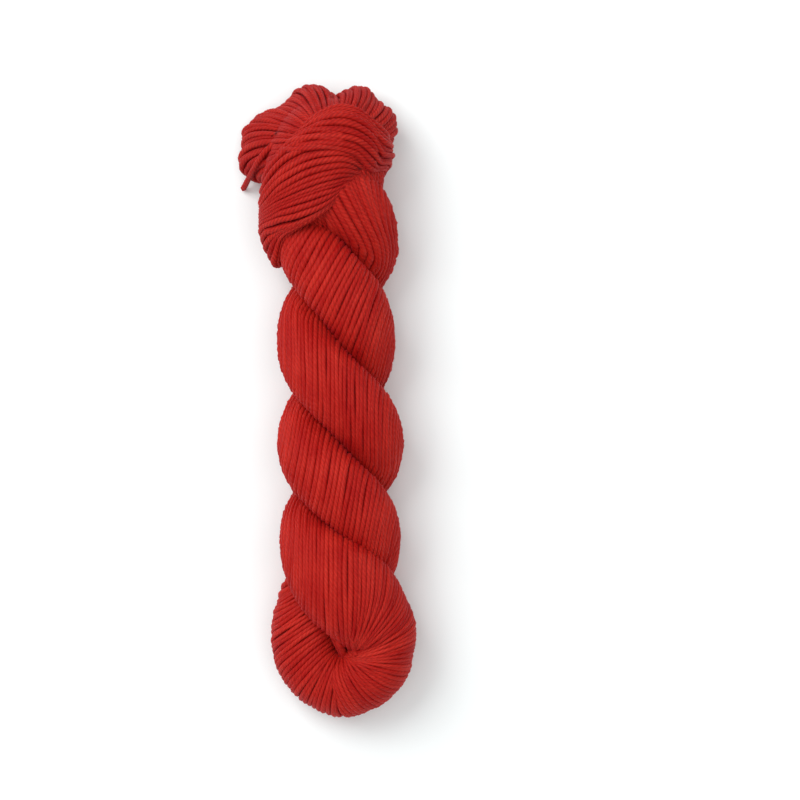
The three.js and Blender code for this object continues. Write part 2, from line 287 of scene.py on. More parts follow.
CUFF_WANDER, CUFF_WAVE = (0.012, 150), (0.15, 90)  # in lanes and in millimetres, and degrees
# Past this lane a strand goes down into the hank and on to the crown: millimetres to a lane.
EDGE_LANE, EDGE_SINK, EDGE_SHIFT = 0.99, 18, 20
UPPER_RISE = 0.2  # of the upper strands, which lie over the lower ones
LOWER_SINK_AT = (45, 70, 180, 300, 360, 405)  # degrees, for how deep the lower ones go under
LOWER_SINK = (2.2, 0.2, 0, 0.5, 2.2, 3.0)
# Every other strand sinks where they crowd. The upper ones do to the right of an angle and where
# they run out past the crown's edge, the lower ones from an angle on and where they come up.
UPPER_RIGHT, UPPER_RIGHT_SINK = 40, 0.7
UPPER_OUT, UPPER_OUT_TAKES, UPPER_OUT_SINK = 85, 30, 1.1
LOWER_RIGHT, LOWER_RIGHT_SINK = 330, 0.8
LOWER_UP, LOWER_UP_TAKES, LOWER_UP_SINK = 50, 35, 1.1

CROWN_FROM, CROWN_TO = -25, 222  # degrees, as in CROWN
CROWN_STRANDS = 58
CROWN_OVER, CROWN_STEPS = (0.1, np.pi - 0.3), 200  # radians over the rim, from the root on top
CROWN_SWIRL = 15  # degrees that a strand turns as it goes a radian over the rim
CROWN_THICK = (1.2, 0.6, 1.08)  # as CUFF_THICK
CROWN_UNDER = 1.9
CROWN_WANDER, CROWN_WAVE = (1.5, 4), (0.25, 3)  # in degrees and in millimetres, and radians
CROWN_SINK_VARIES, CROWN_LEAST_SINK = (-0.25, 0.25), -0.2
CROWN_CROWDED_SINK = 0.4  # of every other strand
ROOT_SINK, ROOT_TAKES = 0.8, 0.9  # more of it at the root, where they crowd most
LAST_AT, LAST_TAKES, LAST_SINK = 203, 15, 2.5  # the last ones go down to the cuff's left edge
NECK_Y, NECK_HALF_LONG, NECK_FILL = 96.0, 30.0, 0.84
NECK_HALF_ACROSS, NECK_HALF_HEIGHT = NECK_FILL * CUFF_HALF_ACROSS, NECK_FILL * CUFF_HALF_HEIGHT
NECK_STEP, NECK_STEPS = 6.0, 120  # degrees from one strand to the next inside the cuff
NECK_REACH, NECK_TWIST = 0.85, 6  # of the neck's half length, and degrees in each half
NECK_WANDER, NECK_WAVE = (1.2, 1.5), (0.2, 1.0)  # in degrees and in millimetres
NECK_UNDER, NECK_UNDER_TAKES = 1.2, 0.2  # they lie deeper where the crown's are over them

HEART_MIDDLE, HEART_HALF = (8.6, -103.0, 13.5), (9.0, 12.0, 10.5)  # the yarn deep in the knob
HEART_SINK = 0.4

INNER_SINK = 2.3  # how far under the form the yarn underneath starts
INNER_LEAST_Z = 0.5
INNER_DEPTH, INNER_AGREES = 0.25, 0.3  # it's only made that deep, and facing as the form does
FOLD_Y = -88.0  # the knob's fold is below this


def read(rows, key, place, column):
    """A column's values at places between a table's rows, on a smooth curve through the rows."""
    keys, values = rows[key], rows[column]
    last = len(keys) - 1
    before = np.maximum(np.arange(last + 1) - 1, 0)
    after = np.minimum(np.arange(last + 1) + 1, last)
    slope = (values[after] - values[before]) / (keys[after] - keys[before])
    i = np.clip(np.searchsorted(keys, place, side="right") - 1, 0, last - 1)
    span = keys[i + 1] - keys[i]
    f = np.clip((place - keys[i]) / span, 0, 1)
    start = values[i] * (1 + 2 * f) * (1 - f) ** 2
    end = values[i + 1] * (3 - 2 * f) * f ** 2
    return start + end + span * f * (1 - f) * (slope[i] * (1 - f) - slope[i + 1] * f)


def unit(vectors):
    """The same vectors, one long."""
    return vectors / np.maximum(np.linalg.norm(vectors, axis=-1, keepdims=True), 1e-9)


def gone_along(line):
    """How far along a line each of its points is."""
    return np.concatenate([[0], np.cumsum(np.linalg.norm(np.diff(line, axis=0), axis=1))])


def ease(share):
    """From 0 to 1, gently at both ends."""
    share = np.clip(share, 0, 1)
    return share * share * (3 - 2 * share)


def wave(places, size, length):
    """A smooth random curve over the places: two waves, the longer one of about that length."""
    turn = 2 * np.pi * places / length
    a, b = random.uniform(0, 2 * np.pi, 2)
    return size * (0.7 * np.sin(turn + a) + 0.45 * np.sin(1.9 * turn + b))


def fold_angle(turn):
    """How far round the knob's fold a place is."""
    return np.maximum(turn - KNOB_TURN, 0) * (np.pi / 2)


def ply_centre(ply, turn):
    """Points of a ply's centreline."""
    fold = fold_angle(turn)
    across = np.where(turn > KNOB_TURN, np.cos(fold), -np.cos(np.pi * turn))
    settled = ease((turn - SETTLE_TURN) / (KNOB_TURN - SETTLE_TURN))
    knob = (RISE + (KNOB_RISE - RISE) * settled) * np.cos(fold)
    rise = np.where(turn <= SETTLE_TURN, RISE * np.sin(np.pi * turn), knob)
    return np.stack([
        read(HALF_TURNS, "turn", turn, "axis")
        + read(HALF_TURNS, "turn", turn, "swing") * ply * across,
        read(HALF_TURNS, "turn", turn, "y") - FOLD_DROP * np.sin(fold),
        read(HALF_TURNS, "turn", turn, "mid") + ply * rise,
    ], axis=-1)


def ply_surface(ply, turn, round_it, sink):
    """Points that far under a ply's surface, and the ways out there. round_it is in radians."""
    settled = np.clip(turn - SETTLE_TURN, 0, 1)
    lie = np.where(
        turn > SETTLE_TURN,
        np.pi * (SETTLE_TURN + settled - settled ** 2 / 2),
        np.pi * turn,
    )
    fold, level = fold_angle(turn), -np.cos(lie)
    out = np.stack(
        [ply * level * np.cos(fold), -level * np.sin(fold), ply * np.sin(lie)], axis=-1
    )
    # the ply's way is taken over a longer stretch where it bends down into the knob's fold
    near = NEAR + FOLD_NEAR * np.maximum(1 - np.abs(turn - KNOB_TURN) / FOLD_NEAR_REACH, 0)
    ahead = unit(ply_centre(ply, turn + near) - ply_centre(ply, turn - near))
    out = unit(out - ahead * (out * ahead).sum(-1, keepdims=True))
    along = np.cross(out, ahead)
    over, across = np.cos(round_it), np.sin(round_it)
    reach = np.where(
        over > 0,
        read(HALF_TURNS, "turn", turn, "out"),
        read(HALF_TURNS, "turn", turn, "inward"),
    )
    wide = read(HALF_TURNS, "turn", turn, "wide")
    points = ply_centre(ply, turn)
    points = points + out * ((reach - sink) * over)[:, None]
    points = points + along * ((wide - sink) * across)[:, None]
    away = unit(out * (over / reach)[:, None] + along * (across / wide)[:, None])
    return points, away


def ways_round(turned):
    """The ways out at angles round the hank's length, in radians from the right."""
    return np.stack([np.cos(turned), np.zeros_like(turned), np.sin(turned)], axis=-1)


def cuff_surface(degrees, lane, sink):
    """Points that far under the cuff's outside, and the ways out there. lane is -1 to 1."""
    degrees = np.mod(degrees, 360)
    fall = np.where(
        lane < 0,
        read(CUFF, "angle", degrees, "up"),
        read(CUFF, "angle", degrees, "down"),
    ) * lane ** 2
    stand = CUFF_EDGE * (np.sqrt(np.maximum(1 - lane ** 2, 0)) - 1) - fall - sink
    turned = np.radians(degrees)
    points = np.stack([
        CUFF_X + (CUFF_HALF_ACROSS + stand) * np.cos(turned),
        read(CUFF, "angle", degrees, "y") - read(CUFF, "angle", degrees, "half") * lane,
        CUFF_Z + (CUFF_HALF_HEIGHT + stand) * np.sin(turned),
    ], axis=-1)
    return points, ways_round(turned)


def crown_surface(degrees, over, sink):
    """Points that far under the crown's surface, and the ways out there.

    over goes from 0, on top of the root, through a quarter turn at the rim, to half a turn.
    """
    degrees = np.where(degrees < -90, degrees + 360, degrees)
    share, thin = np.sin(over), np.cos(over)
    reach = read(CROWN, "angle", degrees, "reach") - sink
    half = read(CROWN, "angle", degrees, "half") - sink
    rim = read(CROWN, "angle", degrees, "rim")
    turned = np.radians(degrees)
    points = np.stack([
        CROWN_X + reach * share * np.cos(turned),
        CROWN_Y + reach * share * np.sin(turned),
        CROWN_ROOT_Z + (rim - CROWN_ROOT_Z) * np.abs(share) ** CROWN_DROOP + half * thin,
    ], axis=-1)
    away = np.stack([
        share / reach * np.cos(turned), share / reach * np.sin(turned), thin / half
    ], axis=-1)
    return points, unit(away)


# ---- making strands ----


def evenly(points, away, diameter, step):
    """The same line with its points about a step apart, the ways out there and its thickness."""
    gone = gone_along(points)
    count = max(int(round(gone[-1] / step)) + 1, 2)
    places = np.linspace(0, gone[-1], count)
    columns = np.column_stack([points, away, np.broadcast_to(diameter, len(points))]).T
    rows = np.stack([np.interp(places, gone, column) for column in columns], axis=-1)
    return rows[:, :3], unit(rows[:, 3:6]), rows[:, 6]


def apart(lines, start=1):
    """How far apart strands that start a unit apart are, all along each of them."""
    along = unit(np.gradient(lines, axis=1))
    across = np.gradient(lines, start, axis=0)
    across = across - along * (across * along).sum(-1, keepdims=True)
    return np.linalg.norm(across, axis=-1)


class Strands:
    """Many strands of plied yarn, gathered to be one mesh."""

    def __init__(self, groove=GROOVE):
        self.groove = groove
        self.points, self.faces, self.shades, self.grooves, self.fibres = [], [], [], [], []
        self.count = 0

    def add(self, line, away, diameter, shade, phase=None, corners=RING_POINTS):
        """A strand along a line: a ring of points at each of the line's, S-plied."""
        phase = random.uniform(0, 2 * np.pi) if phase is None else phase
        lay = LAY * random.uniform(*LAY_VARIES)
        gone = gone_along(line)
        ahead = unit(np.gradient(line, axis=0))
        first = unit(away - ahead * (away * ahead).sum(-1, keepdims=True))
        second = np.cross(ahead, first)
        j = np.arange(corners)
        next_j = (j + 1) % corners
        turned = phase - 2 * np.pi * gone[:, None] / lay + 2 * np.pi * j / corners
        grooved = (j % 2).astype(float) * (corners == RING_POINTS)
        radius = np.broadcast_to(diameter, len(line))[:, None] / 2
        radius = radius * (1 - (1 - self.groove) * grooved)
        ring = first[:, None, :] * (radius * np.cos(turned))[..., None]
        ring = ring + second[:, None, :] * (radius * np.sin(turned))[..., None]
        body = (line[:, None, :] + ring).reshape(-1, 3)
        body[:, 2] = np.maximum(body[:, 2], LEAST_Z)
        n = len(line)
        i = np.arange(n - 1)[:, None] * corners
        a, b = i + j, i + next_j
        c, d = b + corners, a + corners
        walls = np.concatenate([np.stack([a, b, c], -1), np.stack([a, c, d], -1)])
        walls = walls.reshape(-1, 3)
        start, end = len(body), len(body) + 1
        last = (n - 1) * corners
        caps = np.concatenate([
            np.stack([np.full(corners, start), next_j, j], -1),
            np.stack([np.full(corners, end), last + j, last + next_j], -1),
        ])
        body = np.concatenate([body, line[:1], line[-1:]])
        self.points.append(body)
        self.faces.append(np.concatenate([walls, caps]) + self.count)
        self.shades.append(np.full(len(body), shade))
        # the grooves between singles get painted shade in the material, as strong as the grooves
        # are deep
        deep = (1 - self.groove) / (1 - GROOVE)
        self.grooves.append(np.concatenate([np.tile(grooved, n), [0.5, 0.5]]) * deep)
        # the fibres run along the singles, so each corner of the ring keeps to one
        at = np.stack([
            np.tile(FIBRE_ROUND * np.cos(2 * np.pi * j / corners), n),
            np.tile(FIBRE_ROUND * np.sin(2 * np.pi * j / corners), n),
            np.repeat(gone * FIBRE_ALONG + random.uniform(*FIBRE_START), corners),
        ], axis=-1)
        self.fibres.append(np.concatenate([at, at[:1], at[-1:]]))
        self.count += len(body)

    def add_shown(self, line, away, diameter, coarse=False):
        """The stretches of a strand that aren't buried deep in the hank."""
        step, corners = (COARSE_STEP, COARSE_POINTS) if coarse else (RING_STEP, RING_POINTS)
        line, away, diameter = evenly(line, away, diameter, step)
        line[:, 2] = np.maximum(line[:, 2], diameter * REST)
        deepest = DEEPEST + (UNDER if coarse else 0)
        shown = np.array([depth(point) < deepest for point in line])
        edges = np.flatnonzero(np.diff(np.concatenate([[0], shown.astype(int), [0]])))
        shade = random.uniform(0, 1)
        for start, end in zip(edges[::2], edges[1::2]):
            part = slice(max(start - 1, 0), min(end + 1, len(line)))
            if part.stop - part.start >= FEWEST_RINGS:
                self.add(line[part], away[part], diameter[part], shade, corners=corners)

    def piece(self, name, material):
        """The mesh of all the strands, in metres."""
        points = np.concatenate(self.points) * MM
        faces = np.concatenate(self.faces)
        made = mesh_object(name, points, faces, material)
        # groove is the mask for the material's painted shade in the grooves between singles
        for label, values in (("shade", self.shades), ("groove", self.grooves)):
            made.data.attributes.new(label, "FLOAT", "POINT").data.foreach_set(
                "value", np.concatenate(values).astype(np.float32)
            )
        made.data.attributes.new("fibre", "FLOAT_VECTOR", "POINT").data.foreach_set(
            "vector", np.concatenate(self.fibres).astype(np.float32).ravel()
        )
        print(name, len(faces), "triangles")
        return made


def mesh_object(name, points, faces, material):
    """A smooth mesh of triangles from arrays."""
    mesh = bpy.data.meshes.new(name)
    mesh.vertices.add(len(points))
    mesh.vertices.foreach_set("co", points.astype(np.float32).ravel())
    mesh.loops.add(faces.size)
    mesh.loops.foreach_set("vertex_index", faces.astype(np.int32).ravel())
    mesh.polygons.add(len(faces))
    mesh.polygons.foreach_set("loop_start", np.arange(0, faces.size, 3, dtype=np.int32))
    mesh.polygons.foreach_set("use_smooth", np.ones(len(faces), bool))
    mesh.update(calc_edges=True)
    mesh.materials.append(material)
    made = bpy.data.objects.new(name, mesh)
    bpy.context.collection.objects.link(made)
    return made


# ---- the hank's own solid, for how deep a point is under it ----

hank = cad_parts["hank"]
hank_tree = BVHTree.FromPolygons(
    [v.co / MM for v in hank.data.vertices],
    [tuple(p.vertices) for p in hank.data.polygons],
)


def depth(point):
    """How far under the hank's surface a point is."""
    place, normal, _, distance = hank_tree.find_nearest(Vector(point))
    return -math.copysign(distance, (Vector(point) - place).dot(normal))


# ---- materials ----


def yarn_material(name, light, dark, painted_groove_shade):
    """Wool, a little uneven in its dye, with fine fibres that catch the light, and painted shade
    in the grooves between its singles.
    """
    material = bpy.data.materials.new(name)
    material.use_nodes = True
    nodes, links = material.node_tree.nodes, material.node_tree.links
    shader = nodes["Principled BSDF"]
    shader.inputs["Roughness"].default_value = 0.62
    shader.inputs["Specular IOR Level"].default_value = 0.13
    shader.inputs["Sheen Weight"].default_value = 0.15
    shader.inputs["Sheen Roughness"].default_value = 0.4
    shader.inputs["Sheen Tint"].default_value = (1.0, 0.08, 0.14, 1)
    shader.inputs["Subsurface Weight"].default_value = 0.3
    shader.inputs["Subsurface Radius"].default_value = (1.0, 0.1, 0.06)
    shader.inputs["Subsurface Scale"].default_value = 0.0012

    def attribute(name):
        node = nodes.new("ShaderNodeAttribute")
        node.attribute_name = name
        return node

    def noise(vector, scale, detail, roughness=0.5):
        node = nodes.new("ShaderNodeTexNoise")
        node.inputs["Scale"].default_value = scale
        node.inputs["Detail"].default_value = detail
        node.inputs["Roughness"].default_value = roughness
        links.new(vector, node.inputs["Vector"])
        return node.outputs["Fac"]

    where = nodes.new("ShaderNodeTexCoord").outputs["Object"]
    patches = noise(where, 90, 2)
    fuzz = noise(where, 2200, 2)
    fibres = noise(attribute("fibre").outputs["Vector"], 1.0, 3, 0.6)
    shade, groove = attribute("shade").outputs["Fac"], attribute("groove").outputs["Fac"]

    def maths(operation, a, b):
        node = nodes.new("ShaderNodeMath")
        node.operation = operation
        for socket, value in zip(node.inputs, (a, b)):
            if isinstance(value, (int, float)):
                socket.default_value = value
            else:
                links.new(value, socket)
        return node.outputs[0]

    mixed = maths("MULTIPLY", patches, 0.30)
    for layer, share in ((shade, 0.15), (fibres, 0.55), (fuzz, 0.20)):
        mixed = maths("ADD", mixed, maths("MULTIPLY", layer, share))
    ramp = nodes.new("ShaderNodeValToRGB")
    ramp.color_ramp.elements[0].position = 0.42
    ramp.color_ramp.elements[0].color = (*dark, 1)
    ramp.color_ramp.elements[1].position = 0.80
    ramp.color_ramp.elements[1].color = (*light, 1)
    links.new(mixed, ramp.inputs["Fac"])
    # painted shade: the colour is mixed towards a deep red in the grooves between the singles,
    # where they shade each other
    groove_shade_mix = nodes.new("ShaderNodeMix")
    groove_shade_mix.data_type = "RGBA"
    groove_shade_mix.inputs["B"].default_value = (*painted_groove_shade, 1)
    links.new(maths("MULTIPLY", groove, 0.7), groove_shade_mix.inputs["Factor"])
    links.new(ramp.outputs["Color"], groove_shade_mix.inputs["A"])
    links.new(groove_shade_mix.outputs["Result"], shader.inputs["Base Color"])

    bump = nodes.new("ShaderNodeBump")
    bump.inputs["Strength"].default_value = 0.5
    bump.inputs["Distance"].default_value = 0.00025
    links.new(maths("ADD", fibres, maths("MULTIPLY", fuzz, 0.4)), bump.inputs["Height"])
    links.new(bump.outputs["Normal"], shader.inputs["Normal"])
    return material


# the third colour is the painted shade in the grooves between singles
yarn = yarn_material(
    "yarn", light=(0.57, 0.028, 0.016), dark=(0.32, 0, 0), painted_groove_shade=(0.20, 0, 0)
)
# painted shade: a much darker copy of the yarn, for the yarn underneath that shows only in the
# shade between strands
painted_shade_yarn = yarn_material(
    "painted_shade_yarn", light=(0.18, 0.001, 0.001), dark=(0.10, 0, 0), painted_groove_shade=(0.10, 0, 0)
)

# ---- the camera ----

PHOTO_SCALE = 0.42  # millimetres to a pixel
PHOTO_SIZE = 800
MIDDLE_X, MIDDLE_Y, MIDDLE_Z = 31.2, 0.0, 24.0  # the middle of the view
LENS, SENSOR = 150.0, 36.0

camera = bpy.data.objects.new("camera", bpy.data.cameras.new("camera"))
camera.data.lens = LENS
camera.data.sensor_width = SENSOR
distance = PHOTO_SIZE * PHOTO_SCALE * LENS / SENSOR
camera.location = (MIDDLE_X * MM, MIDDLE_Y * MM, (MIDDLE_Z + distance) * MM)
camera.data.clip_start, camera.data.clip_end = 0.05, 10
bpy.context.collection.objects.link(camera)
bpy.context.scene.camera = camera

# ---- the loose end ----


def through(points, steps):
    """A smooth line through the points, which are about evenly spaced."""
    points = np.array(points, float)
    gone = gone_along(points)
    rows = {"at": gone, "x": points[:, 0], "y": points[:, 1], "z": points[:, 2]}
    places = np.linspace(0, gone[-1], steps)
    return np.stack([read(rows, "at", places, c) for c in "xyz"], axis=-1)


end_line = through(LOOSE_END_POINTS, END_STEPS)
end_away = np.tile(END_AWAY, (END_STEPS, 1))
end_line, end_away, _ = evenly(end_line, end_away, YARN_DIAMETER, RING_STEP)
loose = Strands()
loose.add(end_line, end_away, YARN_DIAMETER, shade=0.6, phase=0.3)
loose_end = loose.piece("loose_end_yarn", yarn)
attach(loose_end, "root")
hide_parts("loose_end")

# ---- the plies ----


def cross(a, b):
    """The cross product of ways as seen from above."""
    return a[:, 0] * b[:, 1] - a[:, 1] * b[:, 0]


def knob_share(ply, turn, up):
    """How far the strands there lie as the knob's do, not the rope's."""
    return np.where(
        (ply < 0) & (up > 0),
        ease((turn - LEFT_TOP_STARTS) / LEFT_TOP_TAKES),
        ease((turn - KNOB_STARTS) / KNOB_TAKES),
    )


def heading(ply, start, turn, place, axis, up):
    """The way a strand runs at a place, as seen from above."""
    tilt = np.radians(read(LIES, "turn", start, "right" if ply > 0 else "left"))
    rope = np.stack([np.sin(tilt) * np.where(up < 0, -1, 1), np.cos(tilt)], axis=-1)
    angle = np.degrees(np.arctan2(place[:, 1] - PIT[1], place[:, 0] - PIT[0]))
    if ply > 0:
        angle = np.where(angle < RIGHT_FIRST_ANGLE, angle + 360, angle)
    else:
        angle = np.where(angle > 0, angle - 360, angle)
    way = read(KNOB_LIES[ply], "angle", angle, "heading")
    if ply > 0:
        way = 90 + (way - 90) * ease((STRAIGHT_Y - place[:, 1]) / STRAIGHT_TAKES)
    way = np.radians(way)
    knob = np.stack([np.cos(way), np.sin(way)], axis=-1)
    axis = unit(axis[:, :2])
    mirrored = 2 * axis * (axis * knob).sum(-1, keepdims=True) - knob
    knob = np.where(up[:, None] < 0, mirrored, knob)
    return unit(rope + knob_share(ply, turn, up)[:, None] * (knob - rope))


def lean(ply, start, turn, round_it):
    """How many turns back along its ply a strand goes there as it goes a radian round it."""
    count = len(turn)
    # in the knob it's the same underneath as on top
    top = -ply * np.maximum(np.abs(round_it), FOLDED_ROUND[ply])
    round_it = round_it + ease((turn - FOLDED_STARTS) / FOLDED_TAKES) * (top - round_it)
    turns = np.concatenate([turn, turn, turn + NUDGE_TURN, turn - NUDGE_TURN])
    rounds = np.concatenate([round_it + NUDGE_ROUND, round_it - NUDGE_ROUND, round_it, round_it])
    places, ways = ply_surface(ply, turns, rounds, SINK)
    places, ways = places.reshape(4, count, 3), ways.reshape(4, count, 3)
    around = (places[0] - places[1]) / (2 * NUDGE_ROUND)
    along = (places[2] - places[3]) / (2 * NUDGE_TURN)
    up = ways[:, :, 2].mean(axis=0)
    way = heading(ply, start, turn, places.mean(axis=0), along, up)
    face = np.where(up < 0, -1, 1)
    knob = knob_share(ply, turn, up)
    back = face * cross(around, way) / np.maximum(face * cross(along, way), LEAST_ALONG)
    return np.clip(back, LEAST_LEAN * (1 - knob), MOST_LEAN + KNOB_LEAN * knob)


def lay_out(ply, start, reach):
    """Where along its ply each strand is, from its outermost line round to reach."""
    step = reach / PLY_STEPS
    turn, rows = start, [start]
    for k in range(PLY_STEPS):
        round_it = np.full(len(start), k * step)
        middle = turn - lean(ply, start, turn, round_it) * step / 2
        turn = turn - lean(ply, start, middle, round_it + step / 2) * step
        turn = np.clip(turn, PLY_LEAST, PLY_MOST)
        rows.append(turn)
    return np.array(rows).T


def lay_across(ply, start, reach):
    """The same from reach on one side of the outermost line to reach on the other."""
    over, under = lay_out(ply, start, reach), lay_out(ply, start, -reach)
    turns = np.concatenate([over[:, ::-1], under[:, 1:]], axis=1)
    return turns, np.linspace(reach, -reach, turns.shape[1])


def laid_lines(ply, turns, round_it):
    """The lines of a ply's strands, from where along it each is at angles round it."""
    return np.array([
        ply_surface(ply, turns[:, k], np.full(len(turns), angle), SINK)[0]
        for k, angle in enumerate(round_it)
    ]).transpose(1, 0, 2)


def spread(ply, start):
    """How far apart strands that start a turn apart get to be, where they show."""
    lines = laid_lines(ply, *lay_across(ply, start, SEEN_REACH))
    shown = [[depth(point) < SEEN_DEPTH for point in line[::SEEN_STEP]] for line in lines]
    far = np.where(shown, apart(lines, start)[:, ::SEEN_STEP], 0)
    return np.maximum(far.max(axis=1), LEAST_SPREAD)


def on_top(ends, sinks):
    """A line on top of the hank that runs straight between two places as seen from above."""
    line = np.array([np.linspace(a, b, LINE_POINTS) for a, b in zip(*ends)]).T
    high, down = 90, Vector((0, 0, -1))  # from well above the hank
    hits = [hank_tree.ray_cast(Vector((x, y, high)), down) for x, y in line]
    places, normals = (np.array([hit[k] for hit in hits]) for k in (0, 1))
    sinks = np.interp(np.linspace(0, 1, LINE_POINTS), (0, PIT_SETTLES), sinks)
    return places - sinks[:, None] * normals, normals


def drape(start, end, sink):
    """A line on the hank's surface that runs about straight from one place to another."""
    line = start + (end - start) * np.linspace(0, 1, LINE_POINTS)[:, None]
    hits = [hank_tree.find_nearest(Vector(point)) for point in line]
    places, normals = (np.array([hit[k] for hit in hits]) for k in (0, 1))
    return places - sink * normals, normals


def over_heart(line, sink):
    """A line that passes over the heart of the knob, not through it."""
    off = (line - HEART_MIDDLE) / HEART_HALF
    rise = np.sqrt(np.maximum(1 - off[:, 0] ** 2 - off[:, 1] ** 2, 0))
    top = HEART_MIDDLE[2] + HEART_HALF[2] * rise - sink
    inside = (rise > 0) & (off[:, 2] > 0)
    line[:, 2] = np.where(inside, np.maximum(line[:, 2], top), line[:, 2])
    return line


def show(strands, name):
    """One piece of the hank's look, in place of its solid."""
    made = strands.piece(name, yarn)
    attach(made, "root")
    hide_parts("hank")


for ply, side in ((1, "right"), (-1, "left")):
    parts = {part: Strands(PRESSED_GROOVE) for part in ("rope", "knob", "under")}
    grid = np.linspace(PLY_FROM, FOLD_TURN, SPREAD_STEPS)
    widest = spread(ply, grid)
    starts, gaps = [PLY_FROM], []
    while starts[-1] < FOLD_TURN:
        pitch = float(read(LIES, "turn", starts[-1], "pitch"))
        gaps.append(pitch / float(np.interp(starts[-1], grid, widest)))
        starts.append(starts[-1] + gaps[-1] * random.uniform(*PITCH_VARIES))
    # the plies' last strands lie side by side at the bottom of the fold
    aside = LAST_GAP * gaps[-1] if ply > 0 else 0
    fit = (FOLD_TURN - PLY_FROM - aside) / (starts[-1] - PLY_FROM)
    starts = PLY_FROM + (np.array(starts) - PLY_FROM) * fit
    gaps = np.array(gaps + gaps[-1:])
    for layer, start in ((0, starts), (1, starts + 0.5 * gaps)):
        turns, round_it = lay_across(ply, start, PLY_REACH)
        pitch = read(LIES, "turn", start, "pitch")
        free = apart(laid_lines(ply, turns, round_it)) / pitch[:, None]
        for k, turn in enumerate(turns):
            turn = turn + wave(round_it, PLY_WANDER * gaps[k], PLY_WANDER_LENGTH)
            turn = np.clip(turn, HALF_TURNS["turn"][0], PLY_MOST)
            sink = SINK + UNDER * layer + wave(round_it, *PLY_WAVE)
            sink = sink + random.uniform(*PLY_SINK_VARIES)
            sink = sink + CROWDED_SINK * (k % 2) * ease((CROWDED - free[k]) / CROWDED_TAKES)
            line, away = ply_surface(ply, turn, round_it, sink)
            line = over_heart(line, sink + HEART_SINK)
            thick = pitch[k] * np.clip(free[k], FINEST, THICKEST)
            if layer:
                parts["under"].add_shown(line, away, thick * UNDER_FULLER, coarse=True)
            else:
                strands = parts["rope" if start[k] < PLY_SPLIT else "knob"]
                strands.add_shown(line, away, thick * random.uniform(*PLY_FULLER))
    if ply > 0:
        for ends in PIT_STRANDS:
            parts["knob"].add_shown(*on_top(ends, PIT_SINKS), PIT_YARN)
        for points in PIT_EDGE:
            line = through(points, LINE_POINTS)
            away = np.tile(PIT_EDGE_AWAY, (LINE_POINTS, 1))
            parts["knob"].add_shown(line, away, PIT_EDGE_YARN)
    else:
        for share in np.linspace(0, 1, SIDE_COUNT):
            start, end = (np.array(a) + (np.array(b) - a) * share for a, b in SIDE_STRANDS)
            parts["knob"].add_shown(*drape(start, end, SIDE_SINK), SIDE_YARN)
    for part, strands in parts.items():
        show(strands, f"{part}_{side}")

# ---- the cuff ----


def lanes(rows, guides, strand, degrees):
    """A cuff strand's lane at places round it, between those of the guide strands beside it."""
    columns = [name for name in rows if name != "angle"]
    k = int(np.clip(np.searchsorted(guides, strand, side="right") - 1, 0, len(guides) - 2))
    share = (strand - guides[k]) / (guides[k + 1] - guides[k])
    near = read(rows, "angle", degrees, columns[k])
    far = read(rows, "angle", degrees, columns[k + 1])
    return near + share * (far - near)


def add_laid(strands, laid, fuller, finest, thickest):
    """Strands that lie side by side, each as thick as the room beside it lets it be."""
    free = apart(np.array([line for line, _ in laid]))
    for k, (line, away) in enumerate(laid):
        thick = np.clip(free[k] * fuller, finest * CUFF_YARN, thickest * CUFF_YARN)
        strands.add_shown(line, away, thick * random.uniform(*CUFF_YARN_VARIES))


def crowding(top, degrees):
    """How much deeper every other strand of the cuff lies there."""
    if top:
        right = UPPER_RIGHT_SINK * (degrees < UPPER_RIGHT)
        return right + UPPER_OUT_SINK * ease((degrees - UPPER_OUT) / UPPER_OUT_TAKES)
    right = LOWER_RIGHT_SINK * (degrees > LOWER_RIGHT)
    return right + LOWER_UP_SINK * (1 - ease((degrees - LOWER_UP) / LOWER_UP_TAKES))


strands = Strands()
for rows, guides, count, top, layer in (
    (LOWER, LOWER_GUIDES, LOWER_STRANDS, False, 1),
    (UPPER, UPPER_GUIDES, UPPER_STRANDS, True, 1),
    (LOWER, LOWER_GUIDES, LOWER_STRANDS, False, 0),
    (UPPER, UPPER_GUIDES, UPPER_STRANDS, True, 0),
):
    laid = []
    for k in range(count):
        share = (k + 0.5 * layer + random.uniform(*CUFF_SHIFT)) / (count - 1)
        strand = guides[0] + (guides[-1] - guides[0]) * min(max(share, 0), 1)
        degrees = np.linspace(rows["angle"][0], rows["angle"][-1], CUFF_STEPS)
        lane = lanes(rows, guides, strand, degrees) + wave(degrees, *CUFF_WANDER)
        past = np.maximum(-EDGE_LANE - lane, 0)
        sink = CUFF_SINK + CUFF_UNDER * layer + EDGE_SINK * past + wave(degrees, *CUFF_WAVE)
        sink = sink + (-UPPER_RISE if top else np.interp(degrees, LOWER_SINK_AT, LOWER_SINK))
        sink = sink + (k % 2) * crowding(top, degrees)
        line, away = cuff_surface(degrees, np.clip(lane, -EDGE_LANE, EDGE_LANE), sink)
        line[:, 1] += past * EDGE_SHIFT
        laid.append((line, away))
    add_laid(strands, laid, *CUFF_THICK)
show(strands, "cuff_strands")

# ---- the crown ----


def under_end(line, gap):
    """A line that passes under the loose end where it shows, not over it."""
    shown = end_line[end_line[:, 0] < END_SHOWS_X]
    off = np.linalg.norm(line[:, None, :2] - shown[None, :, :2], axis=-1)
    drop = np.sqrt(np.maximum(gap ** 2 - off.min(axis=1) ** 2, 0))
    low = shown[off.argmin(axis=1), 2] - drop
    line[:, 2] = np.where(drop > 0, np.minimum(line[:, 2], low), line[:, 2])
    return line


def over_neck(line, over, sink):
    """A crown strand's line that passes over the neck of yarn in the cuff, not through it."""
    height = 1 - ((line[:, 0] - CUFF_X) / NECK_HALF_ACROSS) ** 2
    height = height - ((line[:, 1] - NECK_Y) / NECK_HALF_LONG) ** 2
    inside = (over < np.pi / 2) & (height > 0)
    top = CUFF_Z + NECK_HALF_HEIGHT * np.sqrt(np.maximum(height, 0)) - sink
    line[:, 2] = np.where(inside, np.maximum(line[:, 2], top), line[:, 2])
    return line


